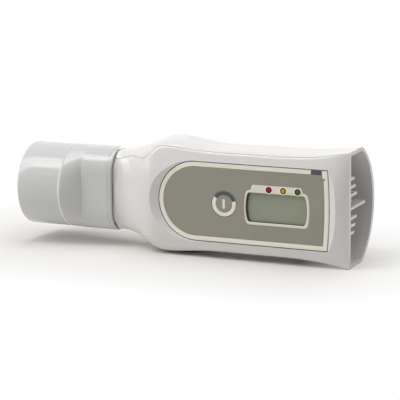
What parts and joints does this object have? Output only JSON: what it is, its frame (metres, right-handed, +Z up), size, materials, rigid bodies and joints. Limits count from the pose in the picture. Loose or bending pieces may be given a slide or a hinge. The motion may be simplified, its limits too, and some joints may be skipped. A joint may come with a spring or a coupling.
{
  "type": "peak flow meter",
  "caption": "Hand-held electronic peak flow meter: flared oval housing with a display and power key, an open outlet with guard fins and a pull-off round mouthpiece with an oval collar.",
  "frame": {"origin": "middle of the footprint, on the surface that the meter stands on when it lies on its long narrow side", "axes": "+X from the mouthpiece to the outlet, -Y out of the display, +Z up"},
  "size_m": [0.144, 0.0364, 0.0466],
  "materials": {
    "shell_plastic": "glossy off-white",
    "mouthpiece_plastic": "satin light grey",
    "frame_plastic": "satin cream",
    "label_film": "satin grey-green film",
    "clear_window": "clear",
    "display_glass": "matt polariser",
    "rubber": "matt",
    "dark_plastic": "matt black",
    "board_laminate": "solder mask over glass laminate",
    "ceramic_parts": "matt",
    "brass": "plain",
    "steel": "plated",
    "magnet": "plated",
    "cover_plastic": "satin grey"
  },
  "bodies": {
    "housing": {"front_shell": "shell_plastic", "rear_shell": "shell_plastic", "shell_screws": "steel", "inner_cover": "cover_plastic", "cover_seal": "rubber", "label_frame": "frame_plastic", "label_overlay": "label_film", "display_bezel": "frame_plastic", "display_window": "clear_window", "display_glass": "display_glass", "contact_strips": "rubber", "display_holder": "dark_plastic", "main_board": "board_laminate", "microcontroller": "dark_plastic", "memory_chip": "dark_plastic", "hall_sensor": "dark_plastic", "board_parts": "ceramic_parts", "key_switch": "dark_plastic", "buzzer": "brass", "board_screws": "steel", "vane_bushes": "brass", "vane_spring": "steel", "coin_cell": "steel", "positive_contact": "steel", "negative_contact": "steel"},
    "mouthpiece": {"mouthpiece": "mouthpiece_plastic"},
    "battery_door": {"battery_door": "shell_plastic"},
    "power_key": {"power_key": "label_film"},
    "flow_vane": {"flow_vane": "cover_plastic", "vane_shaft": "steel", "vane_magnet": "magnet"}
  },
  "joints": [
    {"name": "mouthpiece_pull", "type": "slide", "parent": "housing", "child": "mouthpiece", "axis": [-1, 0, 0], "range_m": [0, 0.02]},
    {"name": "battery_door_lift", "type": "slide", "parent": "housing", "child": "battery_door", "axis": [0, 1, 0], "range_m": [0, 0.015]},
    {"name": "power_key_press", "type": "slide", "parent": "housing", "child": "power_key", "axis": [0, 1, 0], "range_m": [0, 0.0004], "stiffness_N_per_m": 2500},
    {"name": "flow_vane_swing", "type": "hinge", "parent": "housing", "child": "flow_vane", "pos_m": [0.04197, -0.00162, 0.0233], "axis": [0, 0, -1], "range_deg": [0, 60], "stiffness_Nm_per_rad": 0.0002}
  ]
}
